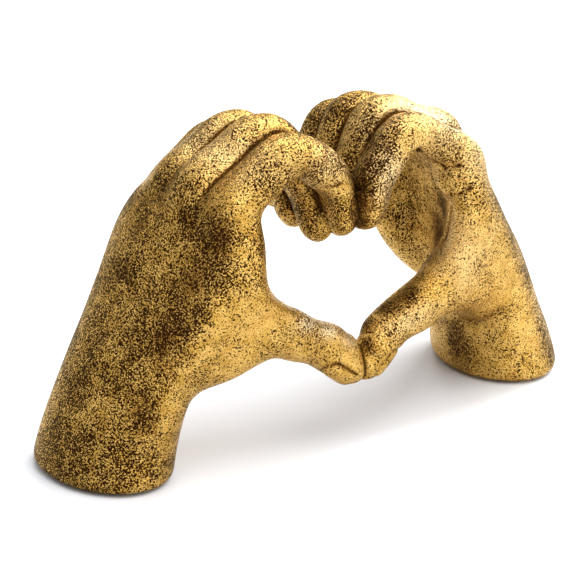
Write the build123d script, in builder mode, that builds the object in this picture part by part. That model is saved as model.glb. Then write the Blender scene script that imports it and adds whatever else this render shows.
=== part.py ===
from build123d import *
import math
import os

os.makedirs("parts", exist_ok=True)

# Overall sizes of the ornament, in mm. X runs across both hands, Y front to back, Z up.
half_width = 124.0
hand_depth = 83.0
hand_height = 140.0

# Fingers: the index finger at its middle joint.
finger_width = 20.6
finger_thickness = 17.4

# Thumb at its middle joint.
thumb_width = 19.8
thumb_thickness = 17.6

# Palm at its widest; the forearm follows it.
palm_width = 78.0
palm_thickness = 30.0
palm_turn = 6.0
rim_round = 2.5

# Flesh masses round the hollow of the palm.
web_width = 24.0
web_thickness = 21.0
thenar_width = 34.0
thenar_thickness = 31.0
heel_width = 30.0
heel_thickness = 27.0
side_width = 32.0
side_thickness = 24.0

# Bends of the digits, and the number of sections along each limb.
finger_bend = 11.0
thumb_bend = 16.0
trunk_section_count = 11
finger_section_count = 14
thumb_section_count = 11
web_section_count = 6
mass_section_count = 7

# Steel dowels across the glue faces, in bores with a running clearance.
dowel_radius = 1.5
dowel_clearance = 0.05
finger_dowel_length = 14.0
thumb_dowel_length = 16.0
dowel_end_gap = 0.2

# Felt pads let into the feet.
pad_margin = 4.0
pad_proud = 0.8
pad_sink = 1.0

# Places are (reach from the glue plane, front to back from the middle, height) shares.
wrist_shares = (0.690, 0.054, 0.257)
index_shares = ((0.468, -0.271, 0.771), (0.222, -0.287, 0.920),
                (0.0685, -0.301, 0.784), (0.045, -0.312, 0.686))
middle_shares = ((0.484, -0.036, 0.807), (0.210, -0.060, 0.947),
                 (0.089, -0.096, 0.754), (0.047, -0.114, 0.632))
ring_shares = ((0.472, 0.193, 0.786), (0.222, 0.169, 0.924),
               (0.093, 0.108, 0.750), (0.047, 0.084, 0.639))
little_shares = ((0.435, 0.386, 0.732), (0.226, 0.355, 0.869),
                 (0.105, 0.295, 0.750), (0.043, 0.259, 0.664))
finger_size_shares = (1.0, 1.02, 0.98, 0.88)
metacarpal_share = 0.42

# Half sizes along a limb: (share of its length, width share, thickness share), in between in proportion.
finger_station_shares = ((0.0, 0.72, 0.50), (0.28, 1.10, 1.06), (0.44, 1.0, 0.98), (0.61, 1.03, 1.06),
                         (0.72, 0.95, 0.93), (0.86, 0.87, 0.86), (1.0, 0.64, 0.75))
thumb_station_shares = ((0.0, 1.46, 1.50), (0.25, 1.42, 1.42), (0.45, 1.20, 1.20), (0.60, 1.04, 1.03),
                        (0.75, 1.0, 1.0), (0.88, 0.93, 0.92), (1.0, 0.75, 0.77))
web_station_shares = ((0.0, 0.86, 0.86), (0.25, 1.0, 1.0), (0.70, 1.0, 0.98), (1.0, 0.72, 0.68))
tip_cover_share = 1.03

thumb_shares = ((0.700, -0.100, 0.305), (0.347, -0.337, 0.414),
                (0.169, -0.313, 0.332), (0.044, -0.361, 0.239))

# Forearm and palm line, then its half sizes as shares of the palm.
trunk_shares = ((0.822, 0.072, -0.06), (0.774, 0.060, 0.129), (0.728, 0.038, 0.257), (0.660, 0.016, 0.400),
                (0.567, 0.0, 0.557), (0.502, 0.010, 0.686), (0.450, 0.030, 0.775))
trunk_station_shares = ((0.0, 0.89, 1.68), (0.20, 0.82, 1.57), (0.34, 0.81, 1.42), (0.50, 0.86, 1.20),
                        (0.68, 0.97, 1.0), (0.86, 1.0, 0.87), (1.0, 0.80, 0.58))

web_shares = ((0.452, -0.29, 0.735), (0.448, -0.34, 0.657), (0.455, -0.355, 0.575), (0.410, -0.340, 0.505),
              (0.330, -0.330, 0.440))
thenar_shares = ((0.60, -0.12, 0.30), (0.56, -0.18, 0.375), (0.53, -0.205, 0.46), (0.52, -0.20, 0.58))
heel_shares = ((0.60, 0.25, 0.30), (0.54, 0.30, 0.43), (0.485, 0.325, 0.60), (0.47, 0.32, 0.75))
side_shares = ((0.46, -0.28, 0.745), (0.483, -0.31, 0.60), (0.515, -0.31, 0.47), (0.55, -0.25, 0.35))
mass_station_shares = ((0.0, 0.45, 0.40), (0.18, 0.78, 0.74), (0.36, 0.97, 0.95), (0.5, 1.0, 1.0),
                       (0.64, 0.97, 0.95), (0.82, 0.78, 0.74), (1.0, 0.45, 0.40))

# Dowels: front to back and height.
front_dowel_shares = (-0.305, 0.715)
rear_dowel_shares = (0.095, 0.672)
thumb_dowel_shares = (-0.362, 0.232)
dowels = (
    (front_dowel_shares, finger_dowel_length),
    (rear_dowel_shares, finger_dowel_length),
    (thumb_dowel_shares, thumb_dowel_length),
)


def place(shares):
    reach, depth, up = shares
    return Vector(-half_width * reach, hand_depth * depth, hand_height * up)


def dowel_centre(shares):
    depth, up = shares
    return hand_depth * depth, hand_height * up


def between(station_shares, along):
    """Width and thickness shares at one share of a limb's length."""
    for (u0, w0, t0), (u1, w1, t1) in zip(station_shares, station_shares[1:]):
        if along <= u1:
            part = (along - u0) / (u1 - u0)
            return w0 + (w1 - w0) * part, t0 + (t1 - t0) * part
    return station_shares[-1][1:]


def limb(line, station_shares, width, thickness, across, count):
    """Lofts evenly spaced ellipses that stand square to a line."""
    sections = []
    for i in range(count):
        along = i / (count - 1)
        width_share, thickness_share = between(station_shares, along)
        with BuildSketch(Plane(line @ along, x_dir=across, z_dir=line % along), mode=Mode.PRIVATE) as section:
            Ellipse(width / 2 * width_share, thickness / 2 * thickness_share)
        sections.append(section.sketch.face())
    loft(sections=sections, clean=False)


with BuildPart() as left_hand:
    # Forearm and palm, one flattened trunk that leans over the heart.
    turn = math.radians(palm_turn)
    with BuildLine(mode=Mode.PRIVATE) as trunk:
        Spline(*[place(s) for s in trunk_shares])
    trunk_across = Vector(-math.sin(turn), math.cos(turn), 0)
    limb(trunk.wire(), trunk_station_shares, palm_width, palm_thickness, trunk_across, trunk_section_count)
    split(bisect_by=Plane.XY.offset(pad_proud), keep=Keep.TOP)
    fillet(left_hand.faces().sort_by(Axis.Z)[0].edges(), radius=rim_round)

    # Index side of the palm, web of the thumb, ball of the thumb and heel of the hand.
    for mass_shares, station_shares, width, thickness, along, count in (
        (side_shares, mass_station_shares, side_width, side_thickness, Axis.X, mass_section_count),
        (web_shares, web_station_shares, web_width, web_thickness, Axis.Y, web_section_count),
        (thenar_shares, mass_station_shares, thenar_width, thenar_thickness, Axis.Y, mass_section_count),
        (heel_shares, mass_station_shares, heel_width, heel_thickness, Axis.Y, mass_section_count),
    ):
        with BuildLine(mode=Mode.PRIVATE) as mass:
            Spline(*[place(s) for s in mass_shares])
        limb(mass.wire(), station_shares, width, thickness, along.direction, count)

    # Four fingers, curled until their backs meet those of the other hand.
    wrist = place(wrist_shares)
    fingers = (index_shares, middle_shares, ring_shares, little_shares)
    for joint_shares, size_share in zip(fingers, finger_size_shares):
        knuckle, middle, last, tip = [place(s) for s in joint_shares]
        root = knuckle + (wrist - knuckle) * metacarpal_share
        across = (middle - knuckle).cross(last - middle).normalized()
        width = finger_width * size_share
        thickness = finger_thickness * size_share
        with BuildLine(mode=Mode.PRIVATE) as finger:
            FilletPolyline(root, knuckle, middle, last, tip, radius=finger_bend * size_share)
        limb(finger.wire(), finger_station_shares, width, thickness, across, finger_section_count)
        with Locations(tip):
            Sphere(thickness / 2 * finger_station_shares[-1][2] * tip_cover_share)

    # Thumb, from the wrist to the foot of the heart.
    joints = [place(s) for s in thumb_shares]
    with BuildLine(mode=Mode.PRIVATE) as thumb:
        FilletPolyline(*joints, radius=thumb_bend)
    across = Axis.Y.direction
    limb(thumb.wire(), thumb_station_shares, thumb_width, thumb_thickness, across, thumb_section_count)
    with Locations(joints[-1]):
        Sphere(thumb_width / 2 * thumb_station_shares[-1][1] * tip_cover_share)

    # The glue faces are flat.
    split(bisect_by=Plane.YZ, keep=Keep.BOTTOM)

    # Recess for the felt pad, in from the rim all round.
    foot = left_hand.faces().sort_by(Axis.Z)[0]
    foot_size = foot.bounding_box().size
    with BuildSketch(Plane.XY.offset(pad_proud)):
        with Locations((foot.center().X, foot.center().Y)):
            Ellipse(foot_size.X / 2 - pad_margin, foot_size.Y / 2 - pad_margin)
    extrude(amount=pad_sink, mode=Mode.SUBTRACT)

    # Dowel bores across the glue faces.
    for dowel_shares, length in dowels:
        with BuildSketch(Plane.YZ):
            with Locations(dowel_centre(dowel_shares)):
                Circle(dowel_radius + dowel_clearance)
        extrude(amount=-(length / 2 + dowel_end_gap), mode=Mode.SUBTRACT)

with BuildPart() as right_hand:
    mirror(left_hand.part, about=Plane.YZ)

with BuildPart() as left_felt_pad:
    with BuildSketch():
        with Locations((foot.center().X, foot.center().Y)):
            Ellipse(foot_size.X / 2 - pad_margin, foot_size.Y / 2 - pad_margin)
    extrude(amount=pad_proud + pad_sink)

with BuildPart() as right_felt_pad:
    mirror(left_felt_pad.part, about=Plane.YZ)

with BuildPart() as thumb_dowel:
    with BuildSketch(Plane.YZ.offset(-thumb_dowel_length / 2)):
        with Locations(dowel_centre(thumb_dowel_shares)):
            Circle(dowel_radius)
    extrude(amount=thumb_dowel_length)

with BuildPart() as front_finger_dowel:
    with BuildSketch(Plane.YZ.offset(-finger_dowel_length / 2)):
        with Locations(dowel_centre(front_dowel_shares)):
            Circle(dowel_radius)
    extrude(amount=finger_dowel_length)

with BuildPart() as rear_finger_dowel:
    with BuildSketch(Plane.YZ.offset(-finger_dowel_length / 2)):
        with Locations(dowel_centre(rear_dowel_shares)):
            Circle(dowel_radius)
    extrude(amount=finger_dowel_length)

for name, piece in (
    ("left_hand", left_hand),
    ("right_hand", right_hand),
    ("left_felt_pad", left_felt_pad),
    ("right_felt_pad", right_felt_pad),
    ("thumb_dowel", thumb_dowel),
    ("front_finger_dowel", front_finger_dowel),
    ("rear_finger_dowel", rear_finger_dowel),
):
    piece.part.label = name
    export_step(piece.part, f"parts/{name}.step")
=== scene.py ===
import math

import bmesh
import bpy
import numpy as np
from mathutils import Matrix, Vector


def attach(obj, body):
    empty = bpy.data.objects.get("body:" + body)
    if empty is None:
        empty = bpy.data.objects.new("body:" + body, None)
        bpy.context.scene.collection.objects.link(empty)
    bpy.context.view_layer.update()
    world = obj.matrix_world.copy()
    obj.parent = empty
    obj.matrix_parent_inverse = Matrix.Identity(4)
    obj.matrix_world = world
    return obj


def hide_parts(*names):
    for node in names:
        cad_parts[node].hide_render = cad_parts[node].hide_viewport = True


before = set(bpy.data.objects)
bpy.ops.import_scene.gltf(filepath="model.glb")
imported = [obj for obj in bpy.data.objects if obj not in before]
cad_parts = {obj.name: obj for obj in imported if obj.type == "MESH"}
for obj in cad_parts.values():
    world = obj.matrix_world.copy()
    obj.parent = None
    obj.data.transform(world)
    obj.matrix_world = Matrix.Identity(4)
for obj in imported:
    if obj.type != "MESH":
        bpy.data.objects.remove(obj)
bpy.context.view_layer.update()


# The two hands. Each is one casting in stone-filled resin, sealed and covered
# with gold leaf; the nails, knuckles and creases are modelled in the casting.
# The right one mirrors the left, apart from small differences by hand.
MM = 0.001
skin_square = 1.62 * MM

# From here on, places and lengths on the hands are in mm, as on the left hand.
glue_face_x = -0.02
foot_z = 0.8

# Front to back and height of the three dowels, round which the hands meet flat.
dowel_places = ((-25.3, 100.1), (7.9, 94.1), (-30, 32.5))
meet_radius = 7.5
meet_depth = 6.5
meet_edge = 3

# Middle line of each finger, knuckle to tip. All four run on to one place in the palm.
finger_lines = {
    "index": [(-58, -22.5, 107.9), (-27.5, -23.8, 128.8), (-8.5, -25, 109.8), (-5.6, -25.9, 92)],
    "middle": [(-60, -3, 113), (-26, -5, 132.6), (-11, -8, 105.6), (-5.8, -9.5, 84)],
    "ring": [(-58.5, 16, 110), (-27.5, 14, 129.4), (-11.5, 9, 105), (-5.8, 7, 85)],
    "little": [(-53.9, 32, 102.5), (-28, 29.5, 121.7), (-13, 24.5, 105), (-5.3, 21.5, 89)],
}
palm_root = (-78, 5, 72)

# Patches that were rubbed soft in the clay: centre and reach.
soft_patches = (
    ((-70, 8, 88), (26, 50, 22)),
    ((-72, 0, 60), (24, 50, 24)),
    ((-58, -26, 80), (14, 16, 26)),
    ((-62, -18, 45), (26, 20, 16)),
)
rub_pull = 0.6
rub_rounds = 46

# Each hand was finished by itself. Moves of the clay: centre, reach, move.
# Pressed lines: places, width, depth; a line of negative depth stands proud.
left_moves = (
    ((-36, -30, 62), (22, 13, 10), (1.4, -1.0, 3.2)),
    ((-50, -26, 40), (20, 15, 9), (0.4, -0.6, -3.6)),
    ((-10, -26, 121), (12, 13, 10), (2.2, 0, 1.6)),
    ((-36, 0, 126), (34, 46, 20), (0, 0, 2.6)),
    ((-84, 18, 100), (22, 34, 30), (-2.2, 0, 1.2)),
    ((-16, -27, 101), (6, 9, 11), (3.0, 0, 0)),
    ((-5, -28, 46), (17, 14, 9), (0, 0, 5.0)),
    ((0, -28, 43), (6.5, 13, 6), (0, 0, 5.0)),
)
left_lines = (
    (((-17.8, -31.7, 112.1), (-14.8, -33.5, 113.3), (-10.2, -33.1, 115.2)), 0.9, 0.9),
    (((-24.6, -24.2, 114.6), (-21.5, -28.1, 112.6), (-17.2, -30.8, 110.5)), 0.9, 0.6),
    (((-16.0, -36.0, 38.7), (-13.6, -36.8, 38.8), (-10.0, -37.3, 35.9), (-4.8, -37.1, 32.4)),
     0.7, 0.7),
    (((-56, -30, 68), (-50.6, -37.6, 72)), 0.8, 0.4),
    (((-53, -30, 64), (-46, -37, 68)), 0.8, 0.4),
    (((-49, -30, 61), (-42, -36, 64)), 0.8, 0.4),
    (((-51.9, -39.6, 75.4), (-36.8, -34.9, 65.7), (-14.7, -31.3, 51.1), (-6, -33, 42)), 3.0, -0.8),
    (((-11.0, -17.5, 103), (-10.3, -19.5, 100), (-10.7, -22.8, 96.3), (-9.0, -23.2, 92)),
     0.9, 1.2),
)
right_moves = (
    ((-30, 10, 134), (26, 34, 16), (0, 0, -1.4)),
    ((-108, 10, 42), (16, 40, 26), (3.2, 0, 0)),
    ((-14, -27, 102), (8, 10, 15), (-3.0, -0.4, 0)),
    ((-58, -8, 112), (20, 22, 14), (-1.4, 0, 2.4)),
    ((-49, -24, 103), (8, 9, 6), (3.2, -0.5, -1.0)),
    ((-8, -26, 45), (8, 10, 9), (1.0, 0, 1.8)),
    ((0, -28, 43), (6.5, 13, 6), (0, 0, 5.0)),
    ((-70, -14, 35.5), (10, 15, 5), (1.4, -1.2, -1.0)),
    ((-38, -30, 44), (13, 13, 8), (0, 0, -3.8)),
)
right_lines = (
    (((-27, -33, 121), (-32, -30.5, 116), (-40, -28, 111), (-45, -28, 108.5), (-49, -32, 110)),
     1.0, 1.6),
    (((-46, -20, 99), (-46.5, -28, 96.5), (-48, -33.8, 98.4), (-52.4, -36.1, 100.8)), 1.0, 1.2),
    (((-45.8, -30.2, 97.4), (-50.2, -25.4, 88.5), (-50, -23.9, 81.5), (-48, -24, 76)), 1.5, 0.9),
    (((-56.8, 15.1, 92), (-58.3, 13.3, 79.7), (-60.4, 12.1, 66.1), (-64, 13, 52)), 2.0, 0.4),
    (((-54.5, 2, 100), (-57, 1, 86), (-57.5, -4, 70)), 1.6, 0.4),
    (((-74, 14, 20), (-71.5, -5.9, 26.7), (-72.5, -14.6, 30.3), (-74.5, -23, 34.8),
      (-77, -27, 38)), 2.6, 0.7),
)

# Painted shade, as extra pits where the hand lies in shade: centre, reach and how much.
left_shade_pits = (
    ((-16, -3, 96), (10, 22, 14), 0.9),
    ((-65, -29, 103), (10, 8, 14), 1.0),
    ((-77, -25, 85), (11, 8, 16), 1.0),
    ((-89, -24, 62), (11, 8, 18), 1.0),
)
right_shade_pits = (
    ((-22, 18, 120), (20, 26, 26), 1.0),
    ((-12, -32, 46), (14, 10, 11), 0.6),
)

# Painted shade, as dark patches with more pits where the hand lies in shade: centre, reach and how
# much.
left_painted_shade = (
    ((-65, -29, 103), (8, 8, 12), 0.55),
    ((-77, -25, 85), (9, 8, 14), 0.55),
    ((-89, -24, 62), (9, 8, 16), 0.5),
    ((-99, -25, 35), (8, 8, 18), 0.45),
)
right_painted_shade = (
    ((-55, -14, 84), (7, 7, 9), 0.65),
    ((-59, -6, 73), (7, 8, 10), 0.8),
    ((-43, -19, 66), (9, 7, 6), 0.8),
    ((-7, -26, 47), (6, 7, 8), 0.6),
    ((-17, -28, 53.5), (8, 7, 5), 0.55),
    ((-26, -30, 58), (8, 7, 5), 0.5),
    ((-74, -4, 14), (8, 10, 16), 0.5),
    ((-3, -33, 42), (4, 4, 6), 0.75),
)

# Painted highlights, pale leaf on ridges where light glints: centre, reach and how much.
left_painted_highlights = (
    ((-26, -34, 60.5), (8, 5, 4), 0.9),
    ((-14, -33.5, 55), (8, 5, 4), 0.95),
    ((-4, -34, 49), (6, 5, 4), 0.95),
    ((-14, -26, 124), (12, 10, 8), 0.45),
    ((-45, 0, 127), (18, 34, 9), 0.3),
)
right_painted_highlights = (
    ((-45, -15, 126), (24, 16, 12), 0.8),
    ((-64, -18, 112), (14, 16, 14), 0.8),
    ((-50, -34, 72), (10, 9, 15), 0.25),
    ((-20, -37, 50), (14, 5, 6), 0.3),
    ((-14, -30, 112), (8, 6, 12), 0.6),
)

# How much brown wax and painted shade each kind of hollow gets, from 0 to 1, and
# about how deep a hollow or a pressed line is that gets the most.
most_wax_and_shade = 0.9
palm_wax_and_shade = 0.12
finger_seam_wax_and_shade = 0.8
thumb_seam_wax_and_shade = 0.7
deep_hollow = 0.045
shallow_share = 0.25
deep_line = 1.5

# How far the leaf is worn to specks, from 0 to 1, with painted shade on the back and
# at the seam, and how much the painted highlight fills again.
back_wear_and_shade = 0.84
palm_wear = 0.45
finger_wear = 0.52
seam_shade_pits = 0.85
least_wear = 0.32
highlight_fill = 0.35

# Where wear, wax and painted shade come in: the place, height or facing where they
# start or end, and the length over which they grow.
forearm_top = (66, 50)
back_side = (-44, 26)
back_facing = 0.1
back_slope = 1.25
palm_spread = 1.5
finger_height = (86, 8)
seam_facing = (0.1, 0.4)
seam_side = (-42, 10)
finger_seam = (-6.5, 4.5)
thumb_seam = (-1.2, 0.9)


def plain_mesh(piece):
    """The mesh that a piece's modifiers give. The piece itself is removed."""
    finished = piece.evaluated_get(bpy.context.evaluated_depsgraph_get())
    mesh = bpy.data.meshes.new_from_object(finished)
    bpy.data.objects.remove(piece)
    return mesh


def casting_blank(node, square):
    """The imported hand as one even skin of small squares."""
    same_point = 0.000002
    blank = bpy.data.objects.new("blank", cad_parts[node].data.copy())
    bpy.context.scene.collection.objects.link(blank)
    skin = bmesh.new()
    skin.from_mesh(blank.data)
    bmesh.ops.remove_doubles(skin, verts=skin.verts, dist=same_point)
    skin.to_mesh(blank.data)
    skin.free()
    even = blank.modifiers.new("even", "REMESH")
    even.mode = "VOXEL"
    even.voxel_size = square
    return plain_mesh(blank)


def finer(mesh):
    """The same skin with every square cut in four and rounded."""
    coarse = bpy.data.objects.new("coarse", mesh)
    bpy.context.scene.collection.objects.link(coarse)
    rounding = coarse.modifiers.new("finer", "SUBSURF")
    rounding.levels = 1
    rounding.render_levels = 1
    return plain_mesh(coarse)


def places(mesh):
    """The skin's points, one a row."""
    flat = np.empty(len(mesh.vertices) * 3)
    mesh.vertices.foreach_get("co", flat)
    return flat.reshape(-1, 3) / MM


def edges(mesh):
    """The two points at each edge's ends."""
    flat = np.empty(len(mesh.edges) * 2, dtype=np.int32)
    mesh.edges.foreach_get("vertices", flat)
    return flat.reshape(-1, 2)


def outward(mesh):
    """Which way the skin faces at each point."""
    flat = np.empty(len(mesh.vertices) * 3)
    mesh.vertex_normals.foreach_get("vector", flat)
    return flat.reshape(-1, 3)


def set_places(mesh, points):
    """Puts the skin's points, on the glue face's side and above the felt."""
    points[:, 0] = np.minimum(points[:, 0], glue_face_x)
    points[:, 2] = np.maximum(points[:, 2], foot_z)
    mesh.vertices.foreach_set("co", (points * MM).ravel())
    mesh.update()


def neighbour_mean(values, pairs):
    """The mean of each point's neighbours."""
    count = len(values)
    near = np.bincount(pairs.ravel(), minlength=count)[:, None]
    one, other = pairs[:, 0], pairs[:, 1]
    total = np.stack([
        np.bincount(one, column[other], count) + np.bincount(other, column[one], count)
        for column in values.T
    ], axis=1)
    return total / near


def relax(values, pairs, pull, rounds):
    """Draws each point towards its neighbours, more where pull is high."""
    for _ in range(rounds):
        values = values + (neighbour_mean(values, pairs) - values) * pull[:, None]
    return values


def soften(values, pairs, rounds):
    """Draws every point half way to its neighbours' mean."""
    return relax(values, pairs, np.full(len(values), 0.5), rounds)


def rising(values, start, length):
    """0 up to the start, and 1 from a length past it."""
    return np.clip((values - start) / length, 0, 1)


def falling(values, end, length):
    """1 up to a length before the end, and 0 from there."""
    return np.clip((end - values) / length, 0, 1)


def patch(points, centre, reach):
    """1 at a centre, falling smoothly to nothing some way past its reach."""
    gap = np.linalg.norm((points - np.array(centre)) / np.array(reach), axis=1)
    return np.exp(-(gap ** 2))


def to_line(points, line):
    """How far each point is from a line through places, and how far along it in mm."""
    line = np.array(line, dtype=float)
    best = np.full(len(points), 1e9)
    along = np.zeros(len(points))
    start = 0.0
    for a, b in zip(line, line[1:]):
        length = np.linalg.norm(b - a)
        part = np.clip((points - a) @ (b - a) / length ** 2, 0, 1)
        gap = np.linalg.norm(points - a - part[:, None] * (b - a), axis=1)
        closer = gap < best
        best[closer] = gap[closer]
        along[closer] = (start + part * length)[closer]
        start += length
    return best, along


# Broad shape, rubbed smooth.
blank = casting_blank("left_hand", skin_square)
points = places(blank)
pairs = edges(blank)
points = soften(points, pairs, 3)
rubbed = np.clip(sum(patch(points, centre, reach) for centre, reach in soft_patches), 0, 1)
points = relax(points, pairs, rubbed * rub_pull, rub_rounds)
set_places(blank, points)
shared_skin = finer(blank)
points = places(shared_skin)
pairs = edges(shared_skin)
normals = outward(shared_skin)

# The palm is scooped out behind a firm edge of flesh. On each side the scoop has a
# place where it starts or ends, and a length over which it deepens.
scoop_depth = 4.2
scoop_rounds = 4
scoop_facing = (0.25, 0.5)
scoop_front = (-33, 7)
scoop_back = (34, 14)
scoop_bottom = (60, 12)
scoop_side = (-38, 6)
scoop_top_height = 107
scoop_top_slope = 0.36
scoop_top_edge = 5
scoop_top = scoop_top_height + scoop_top_slope * points[:, 1]
scoop = rising(normals[:, 0], *scoop_facing) * rising(points[:, 1], *scoop_front)
scoop = scoop * rising(points[:, 2], *scoop_bottom)
scoop = scoop * falling(points[:, 2], scoop_top, scoop_top_edge)
scoop = scoop * falling(points[:, 0], *scoop_side) * falling(points[:, 1], *scoop_back)
points[:, 0] -= scoop_depth * soften(scoop[:, None], pairs, scoop_rounds)[:, 0]

# Clefts where two fingers lie side by side. Their painted shade lies a little towards the
# far finger: how far, and how wide, in each cleft from the index finger on. Along
# the finger, each has a place where it starts and a length over which it deepens.
cleft_depth = 2.0
cleft_width = 2.0
cleft_reach = 18
cleft_start = (38, 16)
cleft_full = (78, 10)
cleft_shade_start = (50, 14)
cleft_shade_bands = ((0.2, 1.1), (2.0, 1.7), (2.0, 1.7))
cleft = np.zeros(len(points))
cleft_shade = np.zeros(len(points))
gaps = [to_line(points, [palm_root] + line) for line in finger_lines.values()]
for (near_gap, near_along), (far_gap, _), (far_side, width) in zip(gaps, gaps[1:], cleft_shade_bands):
    firm = rising(near_along, *cleft_start) * (near_gap < cleft_reach)
    firm = firm * (0.5 + 0.5 * rising(near_along, *cleft_full))
    cleft = cleft + cleft_depth * firm * np.exp(-((near_gap - far_gap) / cleft_width) ** 2)
    # Painted shade: the bottom of each cleft is darkened.
    cleft_shade_along = rising(near_along, *cleft_shade_start) * (near_gap < cleft_reach)
    cleft_shade = np.maximum(cleft_shade, cleft_shade_along * np.exp(-((near_gap - far_gap - far_side) / width) ** 2))

# Wrinkles over the middle and last joints, on the back of each finger. They bow
# towards the knuckle at the finger's sides.
wrinkle_spacing = 2.3
wrinkle_half_width = 6.5
wrinkle_bow = 0.03
wrinkle_facing = (0.2, 0.4)
joint_radius = 16
sink = np.zeros(len(points))
for line in finger_lines.values():
    knuckle, middle, last, tip = [np.array(place, dtype=float) for place in line]
    bent_joints = ((knuckle, middle, last, 5.5, 0.5), (middle, last, tip, 3.2, 0.42))
    for before, joint, after, reach, depth in bent_joints:
        axis = after - before
        axis = axis / np.linalg.norm(axis)
        back = joint - (before + after) / 2
        back = back - axis * (back @ axis)
        back = back / np.linalg.norm(back)
        side = np.cross(axis, back)
        rel = points - joint
        across = rel @ side
        step = rel @ axis + wrinkle_bow * across ** 2
        window = np.exp(-(step / reach) ** 2) * np.exp(-(across / wrinkle_half_width) ** 4)
        near_joint = np.linalg.norm(rel, axis=1) < joint_radius
        window = window * rising(normals @ back, *wrinkle_facing) * near_joint
        ripple = (0.5 + 0.5 * np.cos(step * 2 * math.pi / wrinkle_spacing)) ** 2
        sink = sink + depth * ripple * window
points = points - normals * (cleft + sink)[:, None]
set_places(shared_skin, points)

# Nails: a flat plate inside a pressed outline, with a fold at its root. Centre,
# facing, direction to the tip, half length and half width of each.
nails = (
    ((-1.5, -28.5, 101.5), (0.9, -0.42, 0.1), (0.05, 0.1, -1), 6.5, 4.6),
    ((-1.5, -10.0, 96), (0.97, -0.2, 0.1), (0.05, 0.0, -1), 6.5, 4.6),
    ((-1.5, 8.0, 96), (0.97, 0.1, 0.1), (0.05, 0.0, -1), 6.0, 4.4),
    ((-1.5, 23.0, 98), (0.97, 0.1, 0.1), (0.05, 0.0, -1), 5.4, 3.9),
    ((-12.5, -34.0, 32.0), (-0.35, -0.60, -0.72), (0.74, -0.19, -0.62), 7.5, 5.4),
)
nail_squareness = 2.6
nail_fold_depth = 0.55
nail_fold_width = 0.13
nail_plate_rise = 0.18
nail_plate_edge = (0.95, 0.2)
nail_facing = (0.2, 0.3)
nail_reach = 5
normals = outward(shared_skin)
for centre, facing, along, half_length, half_width in nails:
    facing = np.array(facing) / np.linalg.norm(facing)
    along = np.array(along) - facing * (np.array(along) @ facing)
    along = along / np.linalg.norm(along)
    side = np.cross(facing, along)
    rel = points - np.array(centre)
    lengthwise = rel @ along / half_length
    sideways = rel @ side / half_width
    spread = np.abs(lengthwise) ** nail_squareness + np.abs(sideways) ** nail_squareness
    spread = spread ** (1 / nail_squareness)
    on_it = (np.abs(rel @ facing) < nail_reach) * rising(normals @ facing, *nail_facing)
    fold = nail_fold_depth * np.exp(-((spread - 1.0) / nail_fold_width) ** 2)
    fold = fold * (1.0 - 0.5 * np.clip(lengthwise, 0, 1))
    plate = -nail_plate_rise * falling(spread, *nail_plate_edge)
    pressed = (fold + plate) * on_it
    sink = sink + np.maximum(pressed, 0)
    points = points - normals * pressed[:, None]
set_places(shared_skin, points)

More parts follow.
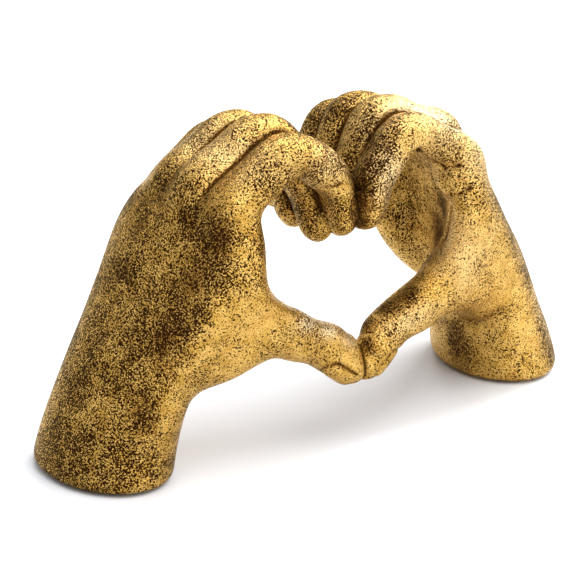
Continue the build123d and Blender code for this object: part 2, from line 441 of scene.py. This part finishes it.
# Each hand gets its own moves, is flat round the dowels where the two are glued,
# and has its lines pressed in.
for cast_hand, node, mirror, forearm_wear, moves, lines, shade_pits, painted_shades, painted_highlights in (
    ("left_cast_hand", "left_hand", 1, 0.65,
     left_moves, left_lines, left_shade_pits, left_painted_shade, left_painted_highlights),
    ("right_cast_hand", "right_hand", -1, 0.2,
     right_moves, right_lines, right_shade_pits, right_painted_shade, right_painted_highlights),
):
    skin = shared_skin.copy()
    own = points + sum(
        patch(points, centre, reach)[:, None] * np.array(move) for centre, reach, move in moves
    )
    for depth, height in dowel_places:
        gap = np.hypot(own[:, 1] - depth, own[:, 2] - height)
        meet = falling(gap, meet_radius, meet_edge) * rising(own[:, 0], -meet_depth, meet_edge)
        own[:, 0] += (glue_face_x - own[:, 0]) * meet
    set_places(skin, own)
    normals = outward(skin)
    pressed = np.zeros(len(own))
    for line, width, depth in lines:
        gap, _ = to_line(own, line)
        pressed = pressed + depth * np.exp(-(gap / width) ** 2)
    own = own - normals * pressed[:, None]
    set_places(skin, own)

    # Brown wax and painted shade lie in the hollows, the clefts and along the seam
    # between the hands, and the leaf is worn to specks on the back, the forearm and the
    # palm, more where painted shade falls.
    normals = outward(skin)
    hollow = ((neighbour_mean(own, pairs) - own) * normals).sum(axis=1)
    hollow = soften(hollow[:, None], pairs, 3)[:, 0]
    # Hollows and pressed lines darkened: brown wax, and painted shade where shade falls in them.
    wax_and_shade = np.clip(hollow / deep_hollow - shallow_share, 0, 1) * most_wax_and_shade
    wax_and_shade = np.maximum(wax_and_shade, np.clip((sink + pressed) / deep_line, 0, 1) * most_wax_and_shade)
    wax_and_shade = np.maximum(wax_and_shade, cleft_shade)
    forearm = falling(own[:, 2], *forearm_top) * forearm_wear
    # The back of the hand, turned from the light, gets more pits: real wear and painted shade.
    dorsal = np.clip(back_facing - normals[:, 0] * back_slope, 0, back_wear_and_shade)
    wear_and_shade = falling(own[:, 0], *back_side) * np.maximum(forearm, dorsal)
    # Painted shade: more pits where the hand lies in shade.
    for centre, reach, amount in shade_pits:
        wear_and_shade = np.maximum(wear_and_shade, amount * patch(own, centre, reach))
    # Painted shade: dark patches, with more pits, where shade falls.
    for centre, reach, amount in painted_shades:
        shaded_patch = patch(own, centre, reach)
        wax_and_shade = np.maximum(wax_and_shade, amount * shaded_patch)
        wear_and_shade = np.maximum(wear_and_shade, shaded_patch)
    fingers = rising(own[:, 2], *finger_height)
    # Finger sides facing the other hand get more pits, as painted shade between the hands.
    to_seam = rising(normals[:, 0], *seam_facing) * rising(own[:, 0], *seam_side)
    wear_and_shade = np.maximum(wear_and_shade, fingers * np.maximum(finger_wear, seam_shade_pits * to_seam))
    wear_and_shade = np.maximum(wear_and_shade, palm_wear * np.clip(scoop * palm_spread, 0, 1))
    wear_and_shade = np.maximum(wear_and_shade, least_wear)
    # Painted shade and brown wax in the palm hollow and along the seam where the two hands meet.
    wax_and_shade = np.maximum(wax_and_shade, palm_wax_and_shade * scoop)
    wax_and_shade = np.maximum(wax_and_shade, finger_seam_wax_and_shade * fingers * rising(own[:, 0], *finger_seam))
    at_thumbs = thumb_seam_wax_and_shade * (1 - fingers)
    wax_and_shade = np.maximum(wax_and_shade, at_thumbs * rising(own[:, 0], *thumb_seam))
    # Painted highlights: pale leaf with fewer pits on ridges where light glints.
    painted_highlight = np.max(
        [amount * patch(own, centre, reach) for centre, reach, amount in painted_highlights], axis=0
    )
    wear_and_shade = wear_and_shade * (1 - highlight_fill * painted_highlight)
    for name, values in (("wax_and_shade", wax_and_shade), ("wear_and_shade", wear_and_shade), ("painted_highlight", painted_highlight)):
        shade = skin.attributes.new(name, "FLOAT", "POINT")
        shade.data.foreach_set("value", values.astype(np.float32))
    if mirror < 0:
        skin.vertices.foreach_set("co", (own * np.array([-MM, MM, MM])).ravel())
        skin.flip_normals()
    skin.update()
    skin.shade_smooth()
    hand = bpy.data.objects.new(cast_hand, skin)
    bpy.context.scene.collection.objects.link(hand)
    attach(hand, "root")
    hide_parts(node)

# The gold leaf is worn to pits and has brown wax and painted shade in it, and pale
# painted highlights, as much as the values painted on the skin say. A cloud's scale
# is in spots a metre: 2500 gives pits of 0.4 mm.
bright_gold = (0.77, 0.47, 0.11)
deep_gold = (0.6, 0.34, 0.055)
highlight_gold = (0.97, 0.8, 0.5)
thin_wax_and_shade = (0.25, 0.115, 0.018)
thick_wax_and_shade = (0.035, 0.013, 0.003)
leaf_tint = (1.0, 0.9, 0.68, 1)
whole_edge = 0.375
worn_edge = 0.51
patch_edge = 0.035
mottle_edge = 0.02
leaf = bpy.data.materials.new("gold_leaf")
leaf.use_nodes = True
tree = leaf.node_tree
link = tree.links.new
shader = tree.nodes["Principled BSDF"]
where = tree.nodes.new("ShaderNodeTexCoord")


def noise(scale, detail, roughness):
    """A cloud of soft spots, from 0 to 1."""
    cloud = tree.nodes.new("ShaderNodeTexNoise")
    cloud.inputs["Scale"].default_value = scale
    cloud.inputs["Detail"].default_value = detail
    cloud.inputs["Roughness"].default_value = roughness
    link(where.outputs["Object"], cloud.inputs["Vector"])
    return cloud.outputs["Fac"]


def ramp(value, low, high, low_value=0.0, high_value=1.0):
    """One value spread smoothly from a low one to a high one."""
    spread = tree.nodes.new("ShaderNodeMapRange")
    spread.interpolation_type = "SMOOTHSTEP"
    spread.inputs["From Min"].default_value = low
    spread.inputs["From Max"].default_value = high
    spread.inputs["To Min"].default_value = low_value
    spread.inputs["To Max"].default_value = high_value
    link(value, spread.inputs["Value"])
    return spread.outputs["Result"]


def sum_of(first, second, how="ADD"):
    """Two values put together: their sum, difference or larger one."""
    sum_node = tree.nodes.new("ShaderNodeMath")
    sum_node.operation = how
    link(first, sum_node.inputs[0])
    link(second, sum_node.inputs[1])
    return sum_node.outputs["Value"]


def blend(part, first, second):
    """The first colour where the part is 0, and the second where it is 1."""
    mix = tree.nodes.new("ShaderNodeMix")
    mix.data_type = "RGBA"
    link(part, mix.inputs["Factor"])
    for socket, colour in ((mix.inputs["A"], first), (mix.inputs["B"], second)):
        if isinstance(colour, tuple):
            socket.default_value = (*colour, 1)
        else:
            link(colour, socket)
    return mix.outputs["Result"]


def painted(name):
    """A value that was painted on the skin's points."""
    value = tree.nodes.new("ShaderNodeAttribute")
    value.attribute_name = name
    return value.outputs["Fac"]


# Pits open where a cloud is below an edge, and the edge rises where the leaf is worn
# and where painted shade falls.
fine_pits = noise(2500, 2, 0.55)
large_pits = noise(1300, 2, 0.5)
patches = noise(60, 2, 0.5)
mottles = noise(230, 2, 0.5)
edge = ramp(painted("wear_and_shade"), 0.0, 1.0, whole_edge, worn_edge)
edge = sum_of(edge, ramp(patches, 0.3, 0.7, -patch_edge, patch_edge))
edge = sum_of(edge, ramp(mottles, 0.3, 0.7, -mottle_edge, mottle_edge))
fine = ramp(sum_of(fine_pits, edge, "SUBTRACT"), -0.06, 0.0, 0.9, 0.0)
large = ramp(sum_of(large_pits, edge, "SUBTRACT"), -0.02, 0.02, 1.0, 0.0)
pits = sum_of(fine, large, "MAXIMUM")
specks = ramp(noise(1900, 2, 0.5), 0.46, 0.6, 0.0, 0.42)
dark = sum_of(pits, sum_of(painted("wax_and_shade"), specks, "SUBTRACT"), "MAXIMUM")
gold = blend(ramp(noise(200, 2, 0.5), 0.35, 0.65), bright_gold, deep_gold)
# Pits, wax and painted shade turn the leaf brown and then near black; painted highlights turn it
# pale.
highlighted = blend(painted("painted_highlight"), gold, highlight_gold)
worn_and_shaded = blend(ramp(dark, 0.0, 0.5), highlighted, thin_wax_and_shade)
link(blend(ramp(dark, 0.35, 0.95), worn_and_shaded, thick_wax_and_shade), shader.inputs["Base Color"])
shader.inputs["Metallic"].default_value = 1.0
shader.inputs["Specular Tint"].default_value = leaf_tint
link(ramp(dark, 0.0, 1.0, 0.27, 0.5), shader.inputs["Roughness"])
grain = tree.nodes.new("ShaderNodeBump")
grain.inputs["Strength"].default_value = 1.0
grain.inputs["Distance"].default_value = 0.6 * MM
relief = sum_of(noise(1400, 3, 0.6), ramp(pits, 0.0, 1.0, 0.0, 0.5), "SUBTRACT")
link(relief, grain.inputs["Height"])
link(grain.outputs["Normal"], shader.inputs["Normal"])
link(grain.outputs["Normal"], shader.inputs["Coat Normal"])
link(ramp(dark, 0.0, 0.6, 0.25, 0.0), shader.inputs["Coat Weight"])
shader.inputs["Coat IOR"].default_value = 1.6
shader.inputs["Coat Roughness"].default_value = 0.22
for name in ("left_cast_hand", "right_cast_hand"):
    bpy.data.objects[name].data.materials.clear()
    bpy.data.objects[name].data.materials.append(leaf)


# The felt pads, one let into each foot. Each is die-cut from dark wool felt
# 1.8 mm thick, softly rounded and a little ragged at its cut edge, and glued in.
pad_centre = (99.82 * MM, 6.08 * MM)
pad_half_sizes = (18.4 * MM, 26.75 * MM)
pad_points = 192
felt_dark = (0.03, 0.026, 0.023, 1)
felt_light = (0.1, 0.09, 0.08, 1)

# In mm, from the middle of the underside round the edge to the middle of the top:
# inset from the edge, and height. The ragged band is cut a little short, and the
# underside is dented where it rests.
pad_profile = (
    (14, 0.0), (9, 0.02), (5, 0.0), (2.5, 0.02), (1.1, 0.01), (0.45, 0.06), (0.12, 0.3),
    (0.03, 0.62), (0.0, 0.95), (0.03, 1.25), (0.12, 1.55), (0.5, 1.74), (1.2, 1.79),
    (3, 1.8), (8, 1.8), (14, 1.8),
)
ragged_band = 2
cut_short = 0.12
underside_height = 0.1
dent_depth = 0.03

felt = bpy.data.materials.new("wool_felt")
felt.use_nodes = True
fibres = felt.node_tree
felt_shader = fibres.nodes["Principled BSDF"]
felt_where = fibres.nodes.new("ShaderNodeTexCoord")

# Two lays of hairs that cross, matted together.
matted = []
for stretch in ((500, 2600, 1500), (2600, 500, 1500)):
    lay = fibres.nodes.new("ShaderNodeMapping")
    lay.inputs["Scale"].default_value = stretch
    hairs = fibres.nodes.new("ShaderNodeTexNoise")
    hairs.inputs["Scale"].default_value = 1.0
    hairs.inputs["Detail"].default_value = 4
    hairs.inputs["Distortion"].default_value = 0.6
    fibres.links.new(felt_where.outputs["Object"], lay.inputs["Vector"])
    fibres.links.new(lay.outputs["Vector"], hairs.inputs["Vector"])
    matted.append(hairs.outputs["Fac"])
tangle = fibres.nodes.new("ShaderNodeMath")
tangle.operation = "MULTIPLY"
fibres.links.new(matted[0], tangle.inputs[0])
fibres.links.new(matted[1], tangle.inputs[1])
felt_tone = fibres.nodes.new("ShaderNodeMapRange")
felt_tone.inputs["From Min"].default_value = 0.1
felt_tone.inputs["From Max"].default_value = 0.45
fibres.links.new(tangle.outputs["Value"], felt_tone.inputs["Value"])
felt_colour = fibres.nodes.new("ShaderNodeMix")
felt_colour.data_type = "RGBA"
felt_colour.inputs["A"].default_value = felt_dark
felt_colour.inputs["B"].default_value = felt_light
fibres.links.new(felt_tone.outputs["Result"], felt_colour.inputs["Factor"])
fibres.links.new(felt_colour.outputs["Result"], felt_shader.inputs["Base Color"])
felt_nap = fibres.nodes.new("ShaderNodeBump")
felt_nap.inputs["Strength"].default_value = 0.8
felt_nap.inputs["Distance"].default_value = 0.3 * MM
fibres.links.new(tangle.outputs["Value"], felt_nap.inputs["Height"])
fibres.links.new(felt_nap.outputs["Normal"], felt_shader.inputs["Normal"])
felt_shader.inputs["Roughness"].default_value = 0.95
felt_shader.inputs["Sheen Weight"].default_value = 0.4
felt_shader.inputs["Sheen Roughness"].default_value = 0.5

for name, node, mirror in (
    ("left_felt_disc", "left_felt_pad", -1),
    ("right_felt_disc", "right_felt_pad", 1),
):
    disc = bmesh.new()
    rings = []
    for inset, height in pad_profile:
        ring = []
        for i in range(pad_points):
            turn = i / pad_points * 2 * math.pi
            ragged = 0.05 * math.sin(23 * turn) + 0.04 * math.sin(41 * turn + 2)
            ragged = ragged + 0.03 * math.sin(67 * turn + 4)
            dented = height < underside_height
            dent = dent_depth * (1 + math.sin(5 * turn + inset)) if dented else 0.0
            short = (inset + (cut_short + ragged if inset < ragged_band else 0.0)) * MM
            ring.append(disc.verts.new((
                mirror * (pad_centre[0] + (pad_half_sizes[0] - short) * math.cos(turn)),
                pad_centre[1] + (pad_half_sizes[1] - short) * math.sin(turn),
                (height + dent) * MM)))
        rings.append(ring)
    for lower, upper in zip(rings, rings[1:]):
        for i in range(pad_points):
            j = (i + 1) % pad_points
            disc.faces.new((lower[i], lower[j], upper[j], upper[i]))
    for ring in (rings[0], rings[-1]):
        middle = disc.verts.new((mirror * pad_centre[0], pad_centre[1], ring[0].co.z))
        for i in range(pad_points):
            disc.faces.new((middle, ring[i], ring[(i + 1) % pad_points]))
    bmesh.ops.recalc_face_normals(disc, faces=disc.faces)
    mesh = bpy.data.meshes.new(name)
    disc.to_mesh(mesh)
    disc.free()
    mesh.shade_smooth()
    mesh.materials.append(felt)
    pad = bpy.data.objects.new(name, mesh)
    bpy.context.scene.collection.objects.link(pad)
    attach(pad, "root")
    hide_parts(node)


# The three dowels, hidden inside the glued fingertips and thumbs. Each is
# cut from ground steel rod 3 mm across, a little dull from handling.
steel_dark = (0.5, 0.5, 0.51, 1)
steel_light = (0.62, 0.62, 0.63, 1)
steel = bpy.data.materials.new("ground_steel")
steel.use_nodes = True
rod = steel.node_tree
rod_shader = rod.nodes["Principled BSDF"]
rod_where = rod.nodes.new("ShaderNodeTexCoord")
grinding = rod.nodes.new("ShaderNodeMapping")
grinding.inputs["Scale"].default_value = (6000, 600, 600)
lines = rod.nodes.new("ShaderNodeTexNoise")
lines.inputs["Scale"].default_value = 1.0
lines.inputs["Detail"].default_value = 3
rod.links.new(rod_where.outputs["Object"], grinding.inputs["Vector"])
rod.links.new(grinding.outputs["Vector"], lines.inputs["Vector"])
dull = rod.nodes.new("ShaderNodeMapRange")
dull.inputs["To Min"].default_value = 0.22
dull.inputs["To Max"].default_value = 0.45
rod.links.new(lines.outputs["Fac"], dull.inputs["Value"])
rod.links.new(dull.outputs["Result"], rod_shader.inputs["Roughness"])
shine = rod.nodes.new("ShaderNodeMix")
shine.data_type = "RGBA"
shine.inputs["A"].default_value = steel_dark
shine.inputs["B"].default_value = steel_light
rod.links.new(lines.outputs["Fac"], shine.inputs["Factor"])
rod.links.new(shine.outputs["Result"], rod_shader.inputs["Base Color"])
marks = rod.nodes.new("ShaderNodeBump")
marks.inputs["Strength"].default_value = 0.3
marks.inputs["Distance"].default_value = 0.05 * MM
rod.links.new(lines.outputs["Fac"], marks.inputs["Height"])
rod.links.new(marks.outputs["Normal"], rod_shader.inputs["Normal"])
rod_shader.inputs["Metallic"].default_value = 1.0
for node in ("thumb_dowel", "front_finger_dowel", "rear_finger_dowel"):
    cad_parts[node].data.materials.clear()
    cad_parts[node].data.materials.append(steel)


# Photographer's table covered in white paper, the camera, and the softboxes in
# a plain room. None of this belongs to the ornament.
table_size = 6
paper_colour = (0.74, 0.75, 0.775, 1)
bpy.ops.mesh.primitive_plane_add(size=table_size)
table = bpy.context.object
table.name = "table_top"
paper = bpy.data.materials.new("white_paper")
paper.use_nodes = True
paper_shader = paper.node_tree.nodes["Principled BSDF"]
paper_shader.inputs["Base Color"].default_value = paper_colour
paper_shader.inputs["Roughness"].default_value = 0.8
table.data.materials.append(paper)

# The camera stands where the photograph was taken from; its angles are in degrees.
camera_down = 21.64
camera_right = 34.61
camera = bpy.data.objects.new("camera", bpy.data.cameras.new("camera"))
bpy.context.scene.collection.objects.link(camera)
camera.location = (-0.64051, -0.908, 0.49811)
camera.rotation_euler = (math.radians(90 - camera_down), 0, math.radians(-camera_right))
camera.data.sensor_width = 36
camera.data.lens = 181.46
bpy.context.scene.camera = camera

# Softboxes: place and size in metres, and power in watts. All face the heart.
lamp_aim = Vector((0, 0, 0.08))
for name, place, size, energy in (
    ("right_softbox", (1.5, 0.5, 1.0), 1.2, 36),
    ("overhead_softbox", (0.25, -0.5, 1.5), 1.5, 24),
    ("front_softbox", (0.4, -1.7, 0.7), 1.2, 12),
    ("rim_softbox", (0.7, 1.3, 0.95), 0.5, 7),
):
    lamp = bpy.data.objects.new(name, bpy.data.lights.new(name, "AREA"))
    bpy.context.scene.collection.objects.link(lamp)
    lamp.location = place
    lamp.rotation_euler = (lamp_aim - lamp.location).to_track_quat("-Z", "Y").to_euler()
    lamp.data.size = size
    lamp.data.energy = energy

# The room is bright overhead and dim towards the horizon.
room = bpy.data.worlds.new("studio")
room.use_nodes = True
sky = room.node_tree
direction = sky.nodes.new("ShaderNodeTexCoord")
parts = sky.nodes.new("ShaderNodeSeparateXYZ")
height = sky.nodes.new("ShaderNodeMapRange")
height.interpolation_type = "SMOOTHSTEP"
height.inputs["From Min"].default_value = 0.1
height.inputs["From Max"].default_value = 0.95
height.inputs["To Min"].default_value = 0.13
height.inputs["To Max"].default_value = 1.1
sky.links.new(direction.outputs["Generated"], parts.inputs["Vector"])
sky.links.new(parts.outputs["Z"], height.inputs["Value"])
sky.links.new(height.outputs["Result"], sky.nodes["Background"].inputs["Strength"])
sky.nodes["Background"].inputs["Color"].default_value = (1, 1, 1, 1)
bpy.context.scene.world = room
bpy.context.scene.view_settings.view_transform = "Standard"
